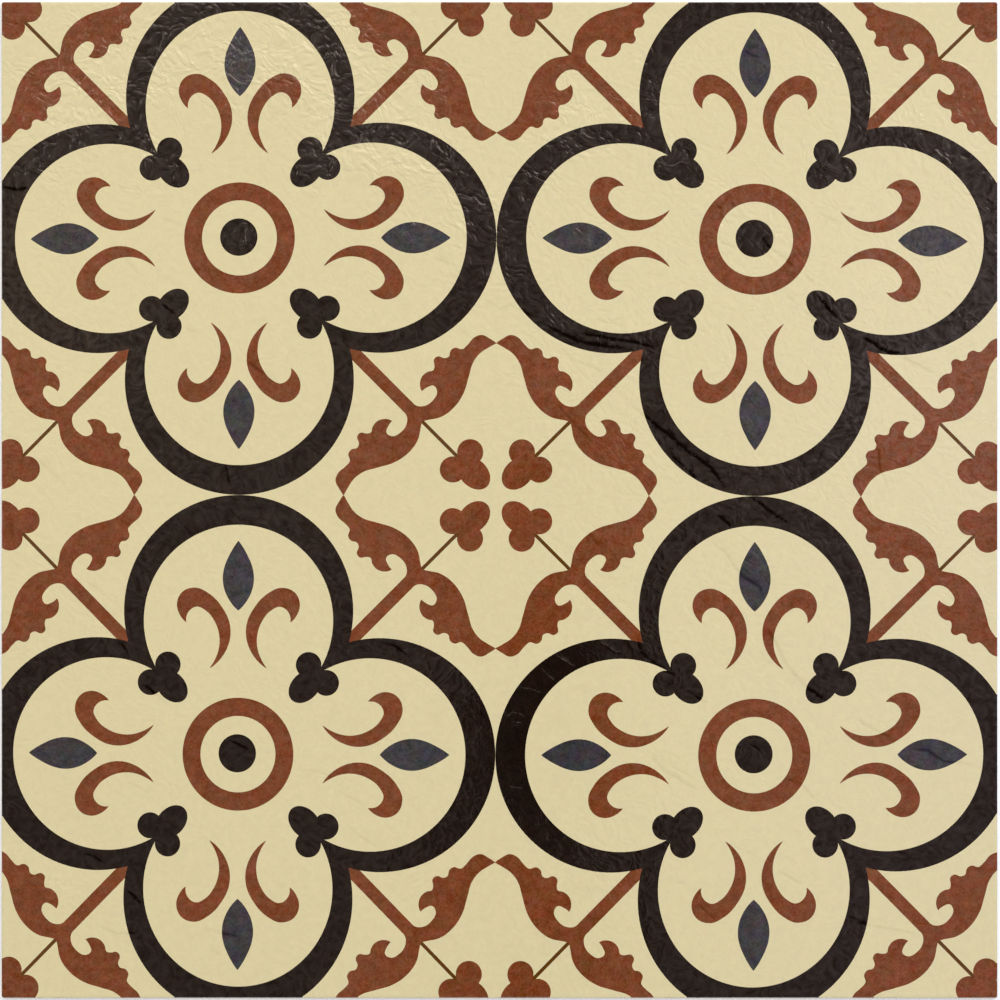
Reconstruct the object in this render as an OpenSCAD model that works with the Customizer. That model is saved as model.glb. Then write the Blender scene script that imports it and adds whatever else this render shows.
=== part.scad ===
// Vinyl floor tile: one square of filled vinyl sheet, die-cut from the face side.
// It lies on its bond face. The origin is the middle of that face, and +Z is up.

/* [Sheet] */
// Side of the square, a nominal 12 inches
tile_side = 305; // [150:1:610]
// Thickness of the whole sheet, wear layer and all
tile_t = 1.5; // [1.2:0.1:4]

/* [Cut edge] */
// Radius to which the die draws down the rim of the wear face
rim_r = 0.3; // [0.1:0.05:0.6]
// Radius of the four corners, seen from above
corner_r = 0.6; // [0.3:0.1:6]

/* [Hidden] */
cream = [0.80, 0.74, 0.58];
$fn = 48;

// Section across the sheet: square below, with the rim rolled down at both ends
module cut_section() {
    rim_x = tile_side / 2 - rim_r;
    translate([-tile_side / 2, 0]) square([tile_side, tile_t - rim_r]);
    translate([-rim_x, 0]) square([2 * rim_x, tile_t]);
    for (side = [-1, 1])
        translate([side * rim_x, tile_t - rim_r]) circle(r = rim_r);
}

// That section carried from one side of the square to the other
module cut_strip() {
    rotate([90, 0, 0])
        linear_extrude(height = tile_side, center = true)
            cut_section();
}

// Plan of the square with its four small corners
module plan() {
    straight = tile_side - 2 * corner_r;
    square([tile_side, straight], center = true);
    square([straight, tile_side], center = true);
    for (x = [-1, 1], y = [-1, 1])
        translate([x, y] * straight / 2) circle(r = corner_r);
}

// The two crossed strips give the four rims, and the plan rounds the corners
module tile() {
    color(cream)
        intersection() {
            cut_strip();
            rotate([0, 0, 90]) cut_strip();
            linear_extrude(height = tile_t) plan();
        }
}

tile();
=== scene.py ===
import math

import bmesh
import bpy
from mathutils import Matrix, Vector, noise
from mathutils.geometry import delaunay_2d_cdt, interpolate_bezier
from mathutils.kdtree import KDTree


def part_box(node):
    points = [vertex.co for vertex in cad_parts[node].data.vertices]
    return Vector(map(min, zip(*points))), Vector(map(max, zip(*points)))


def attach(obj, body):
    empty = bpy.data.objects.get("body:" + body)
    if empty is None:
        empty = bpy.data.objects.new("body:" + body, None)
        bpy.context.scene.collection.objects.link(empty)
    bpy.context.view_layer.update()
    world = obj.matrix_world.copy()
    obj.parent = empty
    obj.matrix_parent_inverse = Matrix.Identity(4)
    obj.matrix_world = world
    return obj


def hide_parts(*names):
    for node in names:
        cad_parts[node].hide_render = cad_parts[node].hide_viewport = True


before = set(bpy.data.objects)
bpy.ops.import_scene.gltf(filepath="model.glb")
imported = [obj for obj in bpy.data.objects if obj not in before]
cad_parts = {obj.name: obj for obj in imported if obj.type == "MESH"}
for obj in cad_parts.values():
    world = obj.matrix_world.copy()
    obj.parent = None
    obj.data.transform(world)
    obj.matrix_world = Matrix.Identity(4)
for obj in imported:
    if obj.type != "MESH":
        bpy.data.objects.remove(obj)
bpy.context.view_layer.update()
MM = 0.001

# Camera
# It hangs straight over the tile on a long lens, so that the square stays square.
# The photo is 1000 pixels each way, and the tile's four edges lie at these of them.
photo_px = 1000.0
left_px, right_px = 1.6, 997.5
top_px, bottom_px = 2.1, 997.8

tile_low, tile_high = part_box("tile")
side = (tile_high.x - tile_low.x) / MM
thick = tile_high.z / MM
px_per_mm = (right_px - left_px + bottom_px - top_px) / 2 / side
middle_px = Vector(((left_px + right_px) / 2, (top_px + bottom_px) / 2))
camera_above = 1600.0

camera_data = bpy.data.cameras.new("camera")
camera_data.sensor_width = 36.0
camera_data.lens = 36.0 * camera_above * px_per_mm / photo_px
camera_data.clip_start = 0.1
camera_data.clip_end = 20.0
camera = bpy.data.objects.new("camera", camera_data)
camera.location = Vector((
    (photo_px / 2 - middle_px.x) / px_per_mm,
    (middle_px.y - photo_px / 2) / px_per_mm,
    thick + camera_above,
)) * MM
bpy.context.scene.collection.objects.link(camera)
bpy.context.scene.camera = camera
bpy.context.scene.view_settings.view_transform = "Standard"


def on_tile(px):
    """A pixel of the photo in mm from the middle of the tile."""
    return Vector((px[0] + 0.5 - middle_px.x, middle_px.y - px[1] - 0.5)) / px_per_mm


def linear(code):
    """An sRGB hex colour as the linear one that a shader works in."""
    parts = [int(code[i:i + 2], 16) / 255 for i in (1, 3, 5)]
    return [c / 12.92 if c <= 0.04045 else ((c + 0.055) / 1.055) ** 2.4 for c in parts] + [1.0]


def node(tree, kind, links=(), **settings):
    """Adds a shader node, sets its named values, and links (input, output socket) pairs to it."""
    made = tree.nodes.new(kind)
    for name, value in settings.items():
        if hasattr(made, name):
            setattr(made, name, value)
        else:
            made.inputs[name.replace("_", " ")].default_value = value
    for name, socket in links:
        tree.links.new(socket, made.inputs[name])
    return made


# Table top
# A white laminate board, on which the tile lies flat on its bond face. To the camera
# it is pure white round the tile, as in the photo, and it still takes the tile's shadow.
board_half = 2000.0
board_below = 0.02
board_mesh = bpy.data.meshes.new("table_top")
bm = bmesh.new()
bmesh.ops.create_grid(bm, x_segments=2, y_segments=2, size=board_half * MM)
bmesh.ops.translate(bm, verts=bm.verts, vec=(0, 0, -board_below * MM))
bm.to_mesh(board_mesh)
bm.free()
board = bpy.data.objects.new("table_top", board_mesh)
bpy.context.scene.collection.objects.link(board)

laminate = bpy.data.materials.new("white_laminate")
laminate.use_nodes = True
tree = laminate.node_tree
tree.nodes.clear()
ray = node(tree, "ShaderNodeLightPath").outputs
mirrored = node(tree, "ShaderNodeMath", [(0, ray["Is Glossy Ray"]), (1, ray["Is Transmission Ray"])],
                operation="MAXIMUM")
seen = node(tree, "ShaderNodeMath", [(0, ray["Is Camera Ray"]), (1, mirrored.outputs[0])],
            operation="MAXIMUM")
matt = node(tree, "ShaderNodeBsdfDiffuse", Color=linear("#F4F4F2"))
lift = node(tree, "ShaderNodeEmission", [("Strength", seen.outputs[0])], Color=linear("#606060"))
both = node(tree, "ShaderNodeAddShader", [(0, matt.outputs[0]), (1, lift.outputs[0])])
node(tree, "ShaderNodeOutputMaterial", [("Surface", both.outputs[0])])
board_mesh.materials.append(laminate)

# Light
# A grey studio, brighter towards the upper right, and four far soft boxes give the even
# light, with a low blue lamp that cools the right side. The nearer ones show as sheen: a
# window beyond the top edge that glints on the rough patches, faint glows over the top and
# both sides, and a black and a grey card that darken it from the middle down.
world = bpy.data.worlds.new("studio")
world.use_nodes = True
tree = world.node_tree
around_us = node(tree, "ShaderNodeTexCoord").outputs["Generated"]
towards = node(tree, "ShaderNodeVectorMath", [(0, around_us)], operation="DOT_PRODUCT")
towards.inputs[1].default_value = (0.6, 0.8, 0.0)
dome = node(tree, "ShaderNodeMapRange", [("Value", towards.outputs["Value"])],
            From_Min=-0.5, From_Max=0.5, To_Min=0.14, To_Max=0.5)
tree.links.new(dome.outputs[0], tree.nodes["Background"].inputs["Strength"])
tree.nodes["Background"].inputs["Color"].default_value = (1.0, 1.0, 1.0, 1.0)
bpy.context.scene.world = world


def soft_box(name, place, aim, size, level, tint="#FFFFFF"):
    """An oblong lamp with a face in metres, as bright as a sheet of that level, aimed at a spot."""
    data = bpy.data.lights.new(name, "AREA")
    data.shape = "RECTANGLE"
    data.size, data.size_y = size
    data.color = linear(tint)[:3]
    data.energy = level * size[0] * size[1] * math.pi
    lamp = bpy.data.objects.new(name, data)
    lamp.location = place
    lamp.rotation_euler = (Vector(aim) - Vector(place)).to_track_quat("-Z", "Y").to_euler()
    lamp.visible_camera = False
    bpy.context.scene.collection.objects.link(lamp)
    return lamp


soft_box("key", (1.1, 1.2, 1.5), (0, 0, 0), (1.4, 1.4), 3.7)
soft_box("left_fill", (-1.4, 0.3, 1.4), (0, 0, 0), (1.2, 1.2), 2.5)
soft_box("top_fill", (-0.2, 1.5, 1.4), (0, 0, 0), (1.2, 1.2), 1.55)
soft_box("front_fill", (0.2, -1.5, 1.4), (0, 0, 0), (1.2, 1.2), 2.1)
low_blue = soft_box("low_blue", (0.35, 0.0, 0.16), (0, 0, 0), (0.1, 0.3), 2.1, "#5F86FF")
low_blue.visible_glossy = False
window = soft_box("far_window", (0.02, 0.79, 0.45), (0.02, 0.79, 0), (0.44, 0.56), 1.35, "#FFFBE6")
window.visible_diffuse = False
soft_box("veil", (0.0, 0.05, 0.46), (0, 0.05, 0), (0.62, 0.18), 0.08, "#FFFBE6")
soft_box("left_glow", (-0.21, 0.10, 0.45), (-0.15, 0.1, 0), (0.14, 0.14), 0.25, "#FFF8D8")
soft_box("right_glow", (0.20, 0.09, 0.45), (0.15, 0.08, 0), (0.16, 0.14), 0.48, "#E8EEFF")
soft_box("right_veil", (0.20, -0.14, 0.45), (0.2, -0.14, 0), (0.18, 0.46), 0.09, "#A8B8FF")

# Each card's corners are the pixels of the photo in which the sheen mirrors them
card_above = 450.0
black_px = ((497, 383), (585, 383), (585, 625), (612, 652), (612, 762), (497, 762))
grey_px = ((482, 383), (497, 383), (497, 762), (618, 762), (618, 1060), (380, 1060), (472, 800))
for name, corner_px, code in (("black_card", black_px, "#040404"), ("grey_card", grey_px, "#3C3C3C")):
    card_mesh = bpy.data.meshes.new(name)
    bm = bmesh.new()
    corners = [on_tile(px) * (1 + card_above / camera_above) for px in corner_px]
    bm.faces.new([bm.verts.new(corner.to_3d() * MM) for corner in corners])
    bmesh.ops.translate(bm, verts=bm.verts, vec=(0, 0, card_above * MM))
    bm.to_mesh(card_mesh)
    bm.free()
    card = bpy.data.objects.new(name, card_mesh)
    card.visible_camera = False
    bpy.context.scene.collection.objects.link(card)
    flock = bpy.data.materials.new(name + "_flock")
    flock.use_nodes = True
    tree = flock.node_tree
    tree.nodes.clear()
    matt = node(tree, "ShaderNodeBsdfDiffuse", Color=linear(code))
    node(tree, "ShaderNodeOutputMaterial", [("Surface", matt.outputs[0])])
    card_mesh.materials.append(flock)

# Vinyl tile
# One square of limestone-filled vinyl sheet with a printed film and a clear wear layer
# laminated on, the face embossed like cleft slate, and the square die-cut from above.
rim_r = 0.3

# The ornament is drawn in mm from the middle of one quatrefoil, with y up. A round shape
# is a disc, and a leaf is a run of points: smooth along the run, sharp where two runs meet.
ink_spread = 0.08
ink_step = 0.6  # between the points along a curved edge


def disc(x, y, long_r, short_r=0.0, lean=0.0):
    """The outline of a round or oval spot of ink."""
    around = max(24, round(2 * math.pi * long_r / ink_step))
    lie = Matrix.Rotation(math.radians(lean), 2)
    loop = []
    for k in range(around):
        a = 2 * math.pi * k / around
        spoke = Vector((long_r * math.cos(a), (short_r or long_r) * math.sin(a)))
        loop.append(Vector((x, y)) + lie @ spoke)
    return loop


def outline(*runs):
    """A closed outline through the given points, grown by the spread of the ink."""
    loop = []
    for run in runs:
        points = [Vector(p) for p in run]
        # A point inside the run heads along both its neighbours, and its two ends mirror
        # the head next to them, so that the curve between is a plain arc
        heads = [None] * len(points)
        for k in range(1, len(points) - 1):
            back, on = points[k] - points[k - 1], points[k + 1] - points[k]
            heads[k] = (back / back.length * on.length + on / on.length * back.length).normalized()
        for k in range(len(points) - 1):
            chord = points[k + 1] - points[k]
            way = chord.normalized()
            first, second = heads[k], heads[k + 1]
            start = first or (2 * way.dot(second) * way - second if second else way)
            end = second or (2 * way.dot(first) * way - first if first else way)
            reach = 0.35 * chord.length
            count = max(2, round(chord.length / ink_step) + 1)
            curve = interpolate_bezier(points[k], points[k] + start * reach,
                                       points[k + 1] - end * reach, points[k + 1], count)
            loop += [p.xy for p in curve[:-1]]
    area = sum(a.cross(b) for a, b in zip(loop, loop[1:] + loop[:1]))
    if area < 0:
        loop.reverse()
    grown = []
    for before, here, after in zip(loop[-1:] + loop[:-1], loop, loop[1:] + loop[:1]):
        along = (after - before).normalized()
        grown.append(here + ink_spread * Vector((along.y, -along.x)))
    return grown


def box(low_x, low_y, high_x, high_y, lean=0.0):
    """The outline of an oblong of ink, with points along its sides for the relief."""
    corners = [Vector((low_x, low_y)), Vector((high_x, low_y)),
               Vector((high_x, high_y)), Vector((low_x, high_y))]
    loop = []
    for a, b in zip(corners, corners[1:] + corners[:1]):
        count = math.ceil((b - a).length / (2 * ink_step))
        loop += [Matrix.Rotation(math.radians(lean), 2) @ a.lerp(b, k / count) for k in range(count)]
    return loop


leaf = outline(
    [(56.3, 56.3), (55.9, 58.0), (55.0, 62.0), (52.1, 66.0), (47.6, 69.0), (42.7, 70.5), (38.0, 72.0),
     (35.4, 74.0), (33.7, 76.5), (32.35, 79.0)],
    [(32.35, 79.0), (31.1, 77.1), (29.9, 74.5), (30.7, 72.3), (32.9, 70.3), (34.3, 68.6), (33.85, 66.3),
     (34.7, 65.1), (36.5, 64.6), (37.1, 63.2), (36.5, 61.2), (37.4, 60.0), (39.3, 60.2), (40.7, 59.9),
     (41.2, 58.2), (42.4, 56.6), (47.1, 56.3)],
    [(47.1, 56.3), (45.9, 57.8), (45.4, 60.0), (47.0, 61.0), (50.0, 59.7), (51.75, 57.0), (51.6, 54.5),
     (50.2, 53.0)],
    [(50.2, 53.0), (53.0, 53.0)],
    [(53.0, 53.0), (56.3, 56.3)],
)
comma = outline(
    [(16.1, 40.1), (17.8, 42.0), (18.9, 45.6), (17.5, 49.0), (13.6, 50.55), (9.0, 48.7), (5.0, 44.5),
     (2.8, 40.0), (2.45, 36.5), (3.5, 32.2), (5.3, 29.2), (8.75, 26.1)],
    [(8.75, 26.1), (7.0, 28.9), (5.8, 32.6), (5.8, 36.2), (7.2, 40.3), (9.9, 43.6), (13.0, 44.87),
     (15.3, 43.5), (16.1, 40.1)],
)
almond = outline(
    [(0, 64.9), (-2.75, 60.5), (-4.35, 56.5), (-4.75, 53.6), (-4.35, 50.5), (-3.1, 47.5), (0, 43.7)],
    [(0, 43.7), (3.1, 47.5), (4.35, 50.5), (4.75, 53.6), (4.35, 56.5), (2.75, 60.5), (0, 64.9)],
)


def four_round(loop):
    """The same outline at each quarter turn."""
    return [[Matrix.Rotation(math.radians(90 * k), 2) @ p for p in loop] for k in range(4)]


def eight_round(loop):
    """The same outline and its mirror image at each quarter turn."""
    return four_round(loop) + four_round([p.yx for p in reversed(loop)])


# Each ink is laid over the ones before it, as they lie on the film
CREAM, MAROON, BROWN, SLATE, UMBER, CUT, BOND = range(7)
on_diagonal = math.sqrt(0.5)
prints = []
for ink, loops in (
    (MAROON, four_round(box(46, -1.97, 76, 1.97, 45))),
    (UMBER, four_round(box(77, -0.54, 97, 0.54, 45))),
    (MAROON, eight_round(disc(65.79, 71.1, 4.0))),
    (MAROON, four_round(disc(102.2 * on_diagonal, 102.2 * on_diagonal, 5.68, 4.2, 45))),
    (MAROON, eight_round(leaf)),
    (BROWN, four_round(disc(0, 43.6, 35.38))),
    (CREAM, four_round(disc(0, 40.65, 29.22))),
    (CREAM, [box(-24, -24, 24, 24)]),
    (BROWN, eight_round(disc(21.72, 27.14, 3.94))),
    (BROWN, four_round(disc(29.1 * on_diagonal, 29.1 * on_diagonal, 5.75, 4.15, 45))),
    (SLATE, four_round(almond)),
    (MAROON, eight_round(comma)),
    (MAROON, [disc(0, 0, 17.1)]),
    (CREAM, [disc(0, 0, 11.57)]),
    (BROWN, [disc(-0.2, 0.25, 5.78)]),
):
    prints += [(ink, loop) for loop in loops]

# Four of them are printed on the film 158 mm apart, and it is a little stretched and off
# square by the time it is laminated. The shifts are in mm at print_half from the middle.
repeat = 158.0
print_half = 153.0


def laid(p):
    """Where a point of the print ends up on the tile, both in mm from the middle."""
    u, v = p.x / print_half, p.y / print_half
    right = (-1.1 + 0.35 * u + 0.95 * u * u - 0.75 * u ** 3
             + v * (0.35 - 0.1 * v - 0.2 * u - 0.3 * u * v))
    up = (1.4 + 0.25 * v - 1.25 * v * v + 0.65 * v ** 3
          - u * (0.35 + 0.15 * u + 0.1 * v + 1.35 * u * v))
    return p + Vector((right, up))


# The seams of the embossed slate that can be followed in the photo: how strongly each is
# marked, where a raised vein counts less than nothing, and the pixels that it passes
seams = [
    (0.12, (623, 397), (637, 409), (650, 420), (672, 437), (687, 450), (700, 459), (712, 469),
     (725, 487)),
    (0.08, (672, 455), (687, 469), (698, 478)),
    (0.12, (749, 495), (758, 501), (764, 506), (774, 514), (788, 522)),
    (0.10, (718, 514), (724, 520), (731, 525)),
    (0.12, (711, 541), (725, 552), (734, 566), (744, 577), (759, 586), (762, 594)),
    (0.12, (766, 627), (775, 641), (787, 666), (803, 683), (816, 694), (827, 700)),
    (0.07, (759, 650), (767, 660), (775, 666)),
    (0.09, (909, 748), (928, 750), (944, 761), (962, 762), (978, 766)),
    (0.08, (850, 716), (872, 728), (891, 737)),
    (0.12, (542, 322), (562, 333), (575, 339), (594, 344), (625, 348)),
    (0.10, (581, 333), (606, 337), (637, 342), (655, 347)),
    (0.08, (558, 345), (572, 358), (591, 366), (606, 373)),
    (0.05, (600, 320), (613, 323), (628, 328)),
    (0.09, (761, 236), (769, 247), (778, 252), (794, 267)),
    (0.08, (805, 273), (812, 283)),
    (0.09, (784, 292), (808, 314), (819, 328)),
    (0.12, (817, 294), (827, 307), (839, 319)),
    (0.10, (719, 241), (729, 245), (736, 248)),
    (0.08, (716, 205), (722, 209)),
    (0.08, (730, 214), (741, 217)),
    (0.06, (678, 233), (691, 242)),
    (0.12, (862, 336), (881, 348), (890, 352), (903, 353)),
    (0.12, (900, 356), (916, 363), (934, 373)),
    (0.07, (816, 211), (830, 218), (842, 222)),
    (0.08, (744, 50), (752, 55), (761, 57)),
    (0.08, (878, 447), (880, 469), (889, 489)),
    (0.08, (603, 272), (612, 280), (628, 281)),
    (0.09, (234, 358), (247, 361), (259, 370), (275, 380)),
    (0.07, (184, 327), (200, 333)),
    (0.08, (162, 303), (175, 314)),
    (0.07, (159, 216), (181, 225)),
    (0.07, (125, 259), (141, 275)),
    (0.07, (431, 256), (456, 266)),
    (0.08, (481, 297), (500, 308), (509, 304), (534, 316)),
    (0.07, (458, 328), (469, 336), (481, 340)),
    (0.10, (0, 186), (8, 187), (16, 189), (27, 188)),
    (0.06, (225, 462), (227, 475), (231, 487)),
    (0.07, (5, 433), (12, 437)),
    (0.07, (34, 456), (47, 468), (59, 478), (67, 488)),
    (0.08, (87, 581), (106, 594)),
    (0.08, (141, 684), (150, 689), (169, 705)),
    (0.07, (228, 739), (239, 744), (251, 751)),
    (0.06, (119, 641), (128, 653)),
    (0.08, (127, 889), (141, 903)),
    (0.08, (97, 925), (116, 933), (137, 933)),
    (0.08, (200, 926), (216, 931), (241, 937)),
    (0.08, (208, 948), (222, 955)),
    (0.06, (84, 853), (94, 856), (103, 862)),
    (0.09, (125, 781), (138, 786), (150, 794)),
    (0.06, (378, 641), (393, 645), (409, 656)),
    (0.08, (344, 794), (355, 799), (366, 806)),
    (0.08, (344, 822), (360, 836), (378, 847)),
    (0.07, (294, 769), (312, 770), (331, 775)),
    (0.06, (119, 519), (137, 531)),
    (0.08, (636, 634), (642, 653), (662, 669), (675, 675)),
    (0.09, (687, 690), (694, 695), (708, 703)),
    (0.04, (747, 741), (757, 748), (766, 758)),
    (0.10, (786, 778), (802, 784), (816, 800)),
    (0.09, (777, 870), (791, 878), (803, 883)),
    (0.08, (850, 916), (869, 925), (891, 928), (919, 934)),
    (0.09, (647, 750), (662, 769), (700, 791)),
    (0.07, (655, 748), (672, 766), (702, 782)),
    (-0.03, (603, 694), (606, 706), (609, 716), (617, 726)),
    (-0.05, (519, 686), (530, 688), (541, 692)),
    (-0.03, (541, 668), (548, 675), (556, 681)),
    (-0.04, (554, 653), (561, 658), (567, 661), (575, 667)),
    (-0.04, (599, 642), (606, 644), (614, 650), (622, 652)),
    (0.07, (553, 400), (570, 418), (591, 441)),
    (0.06, (550, 534), (572, 550)),
    (0.06, (587, 531), (603, 550)),
    (0.06, (697, 903), (716, 920)),
    (0.05, (656, 875), (687, 884)),
    (0.05, (730, 844), (759, 856)),
    (-0.07, (231, 47), (236, 50), (243, 55), (249, 61)),
    (-0.07, (240, 68), (246, 72)),
    (-0.08, (432, 140), (430, 148), (431, 152), (436, 155), (438, 158)),
    (-0.07, (436, 154), (444, 160), (452, 161)),
    (-0.07, (459, 196), (470, 199)),
    (-0.07, (410, 130), (415, 133), (420, 139)),
    (-0.06, (605, 130), (613, 137)),
    (-0.06, (656, 160), (664, 164), (672, 165), (680, 161), (688, 163)),
    (-0.06, (843, 315), (849, 313)),
    (-0.04, (505, 718), (512, 712), (520, 713), (524, 716)),
    (-0.03, (510, 721), (522, 722)),
    (-0.03, (513, 725), (520, 725)),
    (-0.03, (508, 786), (522, 788)),
]

# Where the slate is rough and catches the light: the pixel in the photo, how far round it
# in pixels, and how much rougher than elsewhere, or smoother where that is below 0
rough_spots = [
    (175, 35, 45, 0.8), (140, 90, 35, 0.8), (200, 10, 35, 0.6), (300, 20, 40, 1.0),
    (335, 60, 35, 0.8), (345, 110, 35, 1.1), (325, 140, 25, 0.9), (365, 135, 30, 0.9),
    (400, 145, 35, 1.0), (440, 165, 32, 0.65), (470, 205, 30, 0.55), (315, 165, 25, 0.7),
    (240, 60, 30, 0.8), (235, 95, 30, 0.6), (285, 85, 30, 0.6), (240, 235, 16, 0.7),
    (150, 150, 40, 0.3), (95, 130, 40, 0.3), (30, 165, 35, 0.3), (410, 235, 25, 0.5),
    (470, 260, 30, 0.4), (370, 30, 35, 0.5), (430, 85, 40, 0.5), (65, 240, 30, 0.25),
    (20, 30, 40, 0.3), (560, 145, 30, 0.45), (535, 175, 30, 0.45), (600, 135, 35, 0.3),
    (510, 215, 30, 0.5), (515, 270, 30, 0.5), (585, 238, 25, 0.6), (570, 100, 40, 0.5),
    (655, 70, 30, 0.4), (650, 115, 25, 0.4), (670, 160, 25, 0.45), (715, 210, 25, 0.5),
    (810, 15, 35, 0.25), (850, 70, 35, 0.25), (865, 110, 30, 0.25), (825, 160, 25, 0.35),
    (780, 240, 25, 0.3), (945, 155, 30, 0.35), (975, 185, 30, 0.35), (985, 240, 30, 0.35),
    (925, 240, 25, 0.3), (900, 130, 40, 0.25), (950, 100, 40, 0.25), (955, 320, 30, 0.4),
    (560, 320, 30, 0.4), (620, 335, 30, 0.4), (545, 380, 35, 0.3), (625, 440, 30, 0.3),
    (455, 690, 30, 0.3), (600, 860, 30, 0.4), (415, 860, 30, 0.4), (540, 700, 90, -0.3),
    (45, 885, 30, 0.4), (100, 30, 45, 0.5), (40, 95, 45, 0.5), (90, 90, 35, 0.4),
    (165, 165, 30, 0.35), (55, 145, 45, 0.3),
]

# Each seam is laid in short legs that stray a little, as a torn edge does, in mm. Blender
# starts its vector noise from the clock, and the seed makes it the same in every run.
noise.seed_set(1)
seam_step = 0.9
seam_stray, stray_across = 0.22, 2.5
seam_lines = []
for deep, *passed in seams:
    points = [on_tile(px) for px in passed]
    line = []
    for a, b in zip(points, points[1:]):
        count = max(1, round((b - a).length / seam_step))
        line += [a.lerp(b, k / count) for k in range(count)]
    line.append(points[-1])
    for k in range(1, len(line) - 1):
        line[k] = line[k] + seam_stray * noise.noise_vector(line[k].to_3d() / stray_across).xy
    seam_lines.append((deep, line))

# Each leg is filed in fine steps, strong along the seam's middle and faint at its ends
fine = 6
seam_tree = KDTree(sum((len(line) - 1) * fine + 1 for _, line in seam_lines))
seam_deep = []
for deep, line in seam_lines:
    for k in range((len(line) - 1) * fine + 1):
        part = k / ((len(line) - 1) * fine)
        leg = min(k // fine, len(line) - 2)
        p = line[leg].lerp(line[leg + 1], k / fine - leg)
        seam_tree.insert(p.to_3d(), len(seam_deep))
        seam_deep.append(deep * min(1.0, 5 * part + 0.15, 5 * (1 - part) + 0.15))
seam_tree.balance()

rough_tree = KDTree(len(rough_spots))
for k, (px_x, px_y, _, _) in enumerate(rough_spots):
    rough_tree.insert(on_tile((px_x, px_y)).to_3d(), k)
rough_tree.balance()
spot_reach = 32


def rough(x, y):
    """How rough the slate's cleft is at a point of the tile, from smooth at 0 to rough at 1."""
    # Nearly smooth as a whole, in patches 16 mm across, and a little less so towards the top
    total = 0.2 + 0.1 * noise.noise(Vector((x / 16, y / 16, 5.5))) + 0.1 * y / 150
    for _, k, far in rough_tree.find_range(Vector((x, y, 0)), spot_reach):
        total += rough_spots[k][3] * math.exp(-1.2 * (far * px_per_mm / rough_spots[k][2]) ** 2)
    return min(1.0, max(0.03, total))


def seam_half(deep):
    """How far in mm a seam or vein so marked reaches to each side of its middle."""
    return 0.4 + 3.0 * deep if deep > 0 else 0.3


def seam_at(x, y):
    """How strongly a seam is marked at a point of the tile, ragged along its way."""
    _, nearest, far = seam_tree.find(Vector((x, y, 0)))
    deep = seam_deep[nearest] * (1 + 0.9 * noise.noise(Vector((x / 1.6, y / 1.6, 9.4))))
    return deep * max(0.0, 1 - far / seam_half(deep))


def pressed(x, y):
    """How far in mm the embossing has pushed the face down at a point of the tile."""
    # Broad swells 34 mm across, and over them a cleft of 11 by 4.2 mm that runs down to the
    # right and wanders by 2.2 mm
    broad = noise.noise(Vector((x / 34, y / 34, 1.7)))
    along = 0.9 * x - 0.43 * y
    across = 0.43 * x + 0.9 * y
    warp = 2.2 * noise.noise(Vector((x / 21, y / 21, 7.1)))
    cleft = noise.fractal(Vector((along / 11, (across + warp) / 4.2, 3.3)), 1.0, 2.0, 3)
    slate = 0.08 + 0.02 * broad + (0.005 + 0.07 * rough(x, y)) * cleft
    # The plate's mark runs out over the last 1.5 mm before the cut rim
    edge = min(side / 2 - abs(x), side / 2 - abs(y))
    fade = min(1.0, max(0.0, (edge - rim_r) / 1.5))
    return fade * max(0.0, slate + 0.4 * seam_at(x, y))


# The film is cut along every ink's outline and every seam in one go, by Blender's
# Delaunay cutter, because no mesh operator cuts shapes that overlap. Loose points
# between the outlines carry the relief.
points, strokes, outlines = [], [], []
half = side / 2 - rim_r
per_side = 250
clear_of_ink, clear_of_rim = 0.5, 0.4
rim_edge = []
for turn in range(4):
    quarter = Matrix.Rotation(math.radians(90 * turn), 2)
    for k in range(per_side + 1):
        rim_edge.append(quarter @ Vector((half, -half + rim_r + k * (side - 4 * rim_r) / per_side)))
    for a in (math.radians(30), math.radians(60)):
        turned = rim_r * Vector((math.cos(a), math.sin(a)))
        rim_edge.append(quarter @ (Vector((half - rim_r, half - rim_r)) + turned))
outlines.append(list(range(len(rim_edge))))
points += rim_edge
painted = [CREAM]
for ink, loop in prints:
    for cell in ((-1, -1), (1, -1), (1, 1), (-1, 1)):
        placed = [laid(p + Vector(cell) * repeat / 2) for p in loop]
        if (min(p.x for p in placed) < half and max(p.x for p in placed) > -half
                and min(p.y for p in placed) < half and max(p.y for p in placed) > -half):
            outlines.append(list(range(len(points), len(points) + len(placed))))
            points += placed
            painted.append(ink)
for deep, line in seam_lines:
    ways = [(line[min(k + 1, len(line) - 1)] - line[max(k - 1, 0)]).normalized()
            for k in range(len(line))]
    sideways = [Vector((-w.y, w.x)) * seam_half(deep) for w in ways]
    for shift in (-1, 0, 1):
        row = [p + shift * s for p, s in zip(line, sideways)]
        row = [p for p in row if max(abs(p.x), abs(p.y)) < half - clear_of_rim / 2]
        strokes += [(k, k + 1) for k in range(len(points), len(points) + len(row) - 1)]
        points += row
near = KDTree(len(points))
for k, p in enumerate(points):
    near.insert(p.to_3d(), k)
near.balance()
pitch = 1.22
rows = int(2 * half / pitch)
for i in range(rows):
    for j in range(rows):
        p = Vector(((j - rows / 2 + 0.25 + 0.5 * (i % 2)) * pitch, (i - rows / 2 + 0.5) * pitch))
        if near.find(p.to_3d())[2] > clear_of_ink and max(abs(p.x), abs(p.y)) < half - clear_of_rim:
            points.append(p)
inside_only, same_point = 1, 1e-4
flat, _, faces, _, _, within = delaunay_2d_cdt(
    points, strokes, outlines, inside_only, same_point, True)

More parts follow.
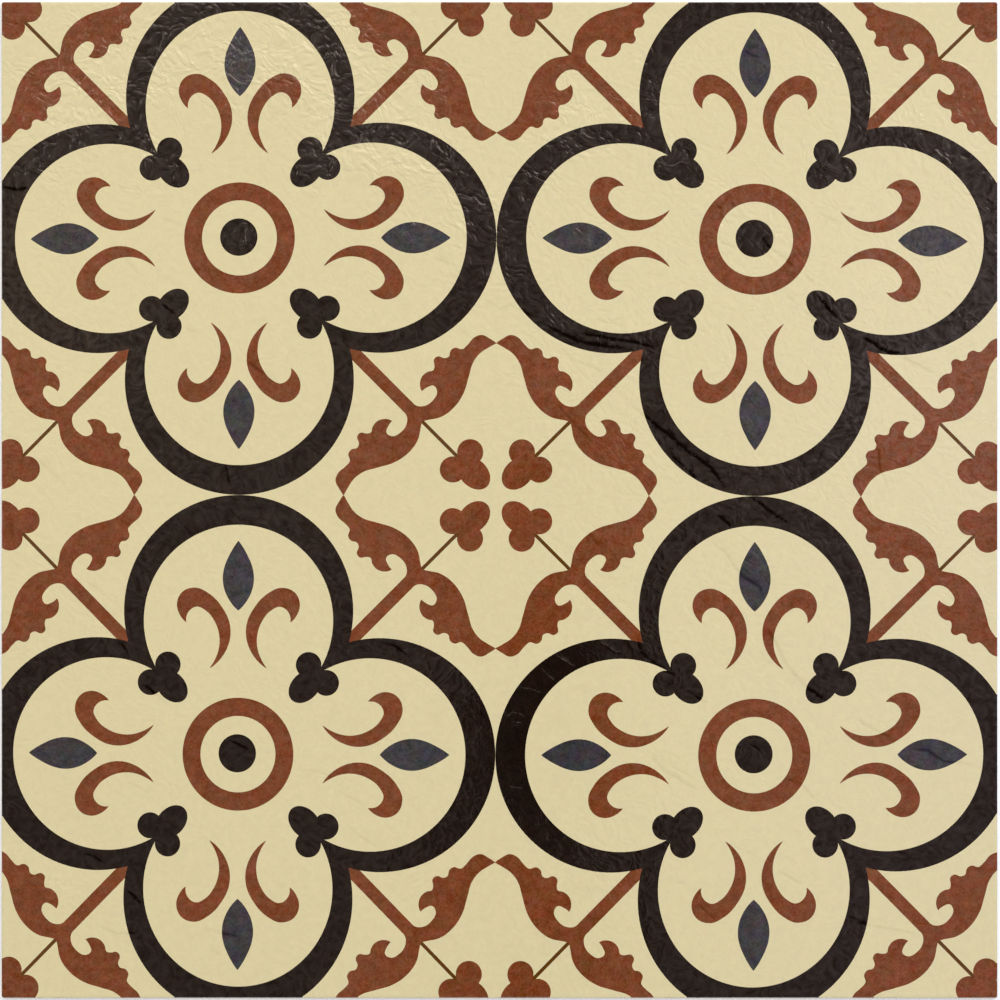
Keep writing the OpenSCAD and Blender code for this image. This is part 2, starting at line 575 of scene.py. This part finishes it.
# A face takes the last ink that was laid over it
kept = [(face, painted[max(inside)]) for face, inside in zip(faces, within) if 0 in inside]
tile_mesh = bpy.data.meshes.new("tile")
tile_mesh.from_pydata([Vector((p.x, p.y, thick - pressed(p.x, p.y))) * MM for p in flat], [],
                      [face for face, _ in kept])
tile_mesh.polygons.foreach_set("material_index", [ink for _, ink in kept])

# The die draws the rim down to its radius in three steps, and shears the sheet square
# below it in two
bm = bmesh.new()
bm.from_mesh(tile_mesh)
bmesh.ops.delete(bm, geom=[v for v in bm.verts if not v.link_faces], context="VERTS")
bmesh.ops.recalc_face_normals(bm, faces=bm.faces)
if sum(f.normal.z for f in bm.faces) < 0:
    bmesh.ops.reverse_faces(bm, faces=bm.faces)
rolling = [e for e in bm.edges if e.is_boundary]
core = (side / 2 - 2 * rim_r) * MM
for step in (1, 2, 3, 4, 5):
    out = bmesh.ops.extrude_edge_only(bm, edges=rolling)["geom"]
    turn = math.radians(30 * min(step, 3))
    for v in (g for g in out if isinstance(g, bmesh.types.BMVert)):
        inner = Vector((max(-core, min(core, v.co.x)), max(-core, min(core, v.co.y))))
        away = (v.co.xy - inner).normalized()
        v.co.xy = inner + away * (rim_r + rim_r * math.sin(turn)) * MM
        rolled = thick - rim_r + rim_r * math.cos(turn)
        v.co.z = (rolled if step < 4 else (5 - step) / 2 * (thick - rim_r)) * MM
    rolling = [g for g in out if isinstance(g, bmesh.types.BMEdge) and g.is_boundary]
    if step > 3:
        for f in (g for g in out if isinstance(g, bmesh.types.BMFace)):
            f.material_index = CUT
under = bmesh.ops.contextual_create(bm, geom=rolling)["faces"]
for f in under:
    f.material_index = BOND
bmesh.ops.triangulate(bm, faces=under)
bmesh.ops.recalc_face_normals(bm, faces=bm.faces)
for f in bm.faces:
    f.smooth = f.material_index not in (CUT, BOND)

# For the baked copy the sheet is laid open: the face with its rolled rim over most of the
# square, then the bond face, pressed to a strip, and the four cut edges above it
open_low, open_wide = 154, 322
bond_from, cut_from, strip = 153, 157, 2.5
open_sheet = bm.loops.layers.uv.new("OFBake")
for f in bm.faces:
    middle = f.calc_center_median()
    across_x = abs(middle.x) > abs(middle.y)
    edge = (2 if across_x else 0) + ((middle.x if across_x else middle.y) > 0)
    for corner in f.loops:
        at = corner.vert.co / MM
        if f.material_index == BOND:
            u, v = at.x, bond_from + strip * (at.y / side + 0.5)
        elif f.material_index == CUT:
            u, v = (at.y if across_x else at.x), cut_from + strip * edge + at.z
        else:
            inner = Vector([max(-core, min(core, c)) / MM for c in corner.vert.co.xy])
            out = at.xy - inner
            past = min(1.0, (out.length - rim_r) / rim_r)
            if past > 0:
                out = out.normalized() * rim_r * (1 + math.asin(past))
            u, v = inner + out
        corner[open_sheet].uv = ((u + open_low) / open_wide, (v + open_low) / open_wide)
bm.to_mesh(tile_mesh)
bm.free()

# The materials read off each point how rough the cleft is, and how strongly a seam is
# marked there, from 1 down to -1 for a raised vein. Where a seam is marked, the ink's
# colour is darkened as a painted shade.
seam_gain = 9
places = [v.co.xy / MM for v in tile_mesh.vertices]
cleft = tile_mesh.attributes.new("cleft", "FLOAT", "POINT")
cleft.data.foreach_set("value", [rough(p.x, p.y) for p in places])
seam = tile_mesh.attributes.new("seam", "FLOAT", "POINT")
seam.data.foreach_set("value", [max(-1.0, min(1.0, seam_gain * seam_at(p.x, p.y))) for p in places])

tile = bpy.data.objects.new("vinyl_tile", tile_mesh)
bpy.context.scene.collection.objects.link(tile)


def printed_vinyl(name, code, paler, mottle, painted_seam_shade):
    """A printed film under a clear vinyl wear layer, embossed with a fine slaty grain.

    The ink runs from one colour to a paler one. Mottle is how far the press's colours
    stray, and the last argument is the share by which the ink's colour is darkened down in a
    seam, as a painted shade.
    """
    material = bpy.data.materials.new(name)
    material.use_nodes = True
    tree = material.node_tree
    tree.nodes.clear()
    place = node(tree, "ShaderNodeTexCoord").outputs["Object"]
    cleft = node(tree, "ShaderNodeAttribute", attribute_name="cleft").outputs["Fac"]
    seam = node(tree, "ShaderNodeAttribute", attribute_name="seam").outputs["Fac"]
    # The grain runs down to the right in blotches of 2.1 by 1.9 mm, and wanders within 9 mm
    wander = node(tree, "ShaderNodeTexNoise", [("Vector", place)], Scale=1 / 0.009, Detail=1.0)
    strayed = node(tree, "ShaderNodeVectorMath", [(0, wander.outputs["Color"]), (2, place)],
                   operation="MULTIPLY_ADD")
    strayed.inputs[1].default_value = (0.009, 0.009, 0.0)
    lie = node(tree, "ShaderNodeMapping", [("Vector", strayed.outputs[0])], vector_type="TEXTURE",
               Rotation=(0, 0, math.radians(-34)), Scale=(0.0021, 0.0019, 0.0019))
    streak = node(tree, "ShaderNodeTexNoise", [("Vector", lie.outputs[0])], Scale=1.0, Detail=1.0)
    relief = node(tree, "ShaderNodeMath", [(0, streak.outputs["Fac"]), (1, cleft)],
                  operation="MULTIPLY")
    # Over it a faint grit of 0.8 mm grains
    grit = node(tree, "ShaderNodeTexNoise", [("Vector", place)], Scale=1 / 0.0008, Detail=1.0)
    height = node(tree, "ShaderNodeMath", [(0, grit.outputs["Fac"]), (2, relief.outputs[0])],
                  operation="MULTIPLY_ADD")
    height.inputs[1].default_value = 0.015
    bump = node(tree, "ShaderNodeBump", [("Height", height.outputs[0])],
                Strength=1.0, Distance=0.00063)
    # The ink covers unevenly, in clouds of 2.5 mm and specks of 0.6 mm, and each of the
    # press's colours strays by itself, 3 mm across
    speck = node(tree, "ShaderNodeTexNoise", [("Vector", place)], Scale=1 / 0.0006, Detail=2.0)
    cloud = node(tree, "ShaderNodeTexNoise", [("Vector", place)], Scale=1 / 0.0025, Detail=2.0)
    cover = node(tree, "ShaderNodeMath", [(0, speck.outputs["Fac"]), (2, cloud.outputs["Fac"])],
                 operation="MULTIPLY_ADD")
    cover.inputs[1].default_value = 1.4
    part = node(tree, "ShaderNodeMapRange", [("Value", cover.outputs[0])],
                From_Min=0.85, From_Max=1.55)
    ink = node(tree, "ShaderNodeMixRGB", [("Fac", part.outputs[0])],
               Color1=linear(code), Color2=linear(paler))
    press = node(tree, "ShaderNodeTexNoise", [("Vector", place)], Scale=1 / 0.003, Detail=2.0)
    stray = node(tree, "ShaderNodeVectorMath", [(0, press.outputs["Color"])],
                 operation="MULTIPLY_ADD")
    stray.inputs[1].default_value = [mottle] * 3
    stray.inputs[2].default_value = [1 - mottle / 2] * 3
    hue = node(tree, "ShaderNodeVectorMath", [(0, ink.outputs[0]), (1, stray.outputs[0])],
               operation="MULTIPLY")
    # A seam is ragged and broken by the same specks, and down in it the ink's colour is darkened, a
    # painted shade
    tear = node(tree, "ShaderNodeMapRange", [("Value", speck.outputs["Fac"])],
                From_Min=0.35, From_Max=0.65, To_Min=0.4, To_Max=1.6)
    ragged = node(tree, "ShaderNodeMath", [(0, seam), (1, tear.outputs[0])], operation="MULTIPLY")
    painted_shade_scale = node(tree, "ShaderNodeMapRange", [("Value", ragged.outputs[0])],
               From_Max=0.7, To_Min=1.0, To_Max=1 - painted_seam_shade)
    colour = node(tree, "ShaderNodeVectorMath", [(0, hue.outputs[0]), ("Scale", painted_shade_scale.outputs[0])],
                  operation="SCALE")
    # The wear layer is glossier and duller in smears along the grain. A seam holds no gloss,
    # and a raised vein is scuffed pale
    smear = node(tree, "ShaderNodeTexNoise", [("Vector", lie.outputs[0])],
                 Scale=1.0, Detail=4.0, Roughness=0.65)
    gloss = node(tree, "ShaderNodeMapRange", [("Value", smear.outputs["Fac"])],
                 From_Min=0.3, From_Max=0.7, To_Min=0.15, To_Max=1.0)
    gleam = node(tree, "ShaderNodeMath", [(0, ragged.outputs[0]), (2, gloss.outputs[0])],
                 operation="MULTIPLY_ADD", use_clamp=True)
    gleam.inputs[1].default_value = -1.2
    # It is a little duller in patches 30 mm across, and on the rough of the cleft
    worn = node(tree, "ShaderNodeTexNoise", [("Vector", place)], Scale=1 / 0.03, Detail=2.0)
    dull = node(tree, "ShaderNodeMapRange", [("Value", worn.outputs["Fac"])],
                From_Min=0.35, From_Max=0.65, To_Min=0.06, To_Max=0.10)
    coarse = node(tree, "ShaderNodeMath", [(0, cleft), (2, dull.outputs[0])],
                  operation="MULTIPLY_ADD")
    coarse.inputs[1].default_value = 0.22
    scuffed = node(tree, "ShaderNodeMapRange",
                   [("Value", ragged.outputs[0]), ("To Max", coarse.outputs[0])],
                   From_Min=-0.6, From_Max=0.0, To_Min=0.6)
    shader = node(tree, "ShaderNodeBsdfPrincipled",
                  [("Base Color", colour.outputs[0]), ("Normal", bump.outputs[0]),
                   ("Specular IOR Level", gleam.outputs[0]), ("Roughness", scuffed.outputs[0])],
                  IOR=1.5, Specular_Tint=linear("#FFE9DD"))
    node(tree, "ShaderNodeOutputMaterial", [("Surface", shader.outputs[0])])
    return material


def filled_vinyl(name, code, fleck, grain, rotation):
    """The bare limestone-filled vinyl: off-white, with flecks of stone and the marks of the tool.

    Fleck is the size of the flecks in metres, and grain that of the marks, turned by rotation.
    """
    material = bpy.data.materials.new(name)
    material.use_nodes = True
    tree = material.node_tree
    tree.nodes.clear()
    place = node(tree, "ShaderNodeTexCoord").outputs["Object"]
    stone = node(tree, "ShaderNodeTexNoise", [("Vector", place)],
                 Scale=1 / fleck, Detail=3.0, Roughness=0.7)
    lie = node(tree, "ShaderNodeMapping", [("Vector", place)], vector_type="TEXTURE",
               Rotation=rotation, Scale=grain)
    marks = node(tree, "ShaderNodeTexNoise", [("Vector", lie.outputs[0])], Scale=1.0, Detail=2.0)
    both = node(tree, "ShaderNodeMath", [(0, stone.outputs["Fac"]), (1, marks.outputs["Fac"])],
                operation="ADD")
    shade = node(tree, "ShaderNodeMapRange", [("Value", both.outputs[0])],
                 From_Min=0.7, From_Max=1.3, To_Min=0.86, To_Max=1.08)
    colour = node(tree, "ShaderNodeVectorMath", [("Scale", shade.outputs[0])], operation="SCALE")
    colour.inputs[0].default_value = linear(code)[:3]
    bump = node(tree, "ShaderNodeBump", [("Height", both.outputs[0])], Strength=0.6, Distance=0.00006)
    dull = node(tree, "ShaderNodeMapRange", [("Value", stone.outputs["Fac"])],
                From_Min=0.3, From_Max=0.7, To_Min=0.5, To_Max=0.7)
    shader = node(tree, "ShaderNodeBsdfPrincipled",
                  [("Base Color", colour.outputs[0]), ("Normal", bump.outputs[0]),
                   ("Roughness", dull.outputs[0])], IOR=1.5)
    node(tree, "ShaderNodeOutputMaterial", [("Surface", shader.outputs[0])])
    return material


# The last number of each printed ink is how far its colour is darkened in a seam, a painted shade
for material in (
    printed_vinyl("cream_film_under_vinyl", "#D9CB9E", "#DDCFA1", 0.06, 0.12),
    printed_vinyl("maroon_film_under_vinyl", "#69300C", "#82492D", 0.6, 0.35),
    printed_vinyl("brown_film_under_vinyl", "#130B06", "#20140E", 0.6, 0.6),
    printed_vinyl("slate_film_under_vinyl", "#2C2A2A", "#444044", 1.0, 0.45),
    printed_vinyl("umber_film_under_vinyl", "#57350E", "#5F3A12", 0.3, 0.4),
    filled_vinyl("sheared_filled_vinyl", "#CFCBC0", 0.0004, (0.0003, 0.0003, 0.002), (0, 0, 0)),
    filled_vinyl("calendered_filled_vinyl", "#D8D6CE", 0.0012, (0.002, 0.03, 0.002), (0, 0, 0)),
):
    tile_mesh.materials.append(material)

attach(tile, "root")
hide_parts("tile")
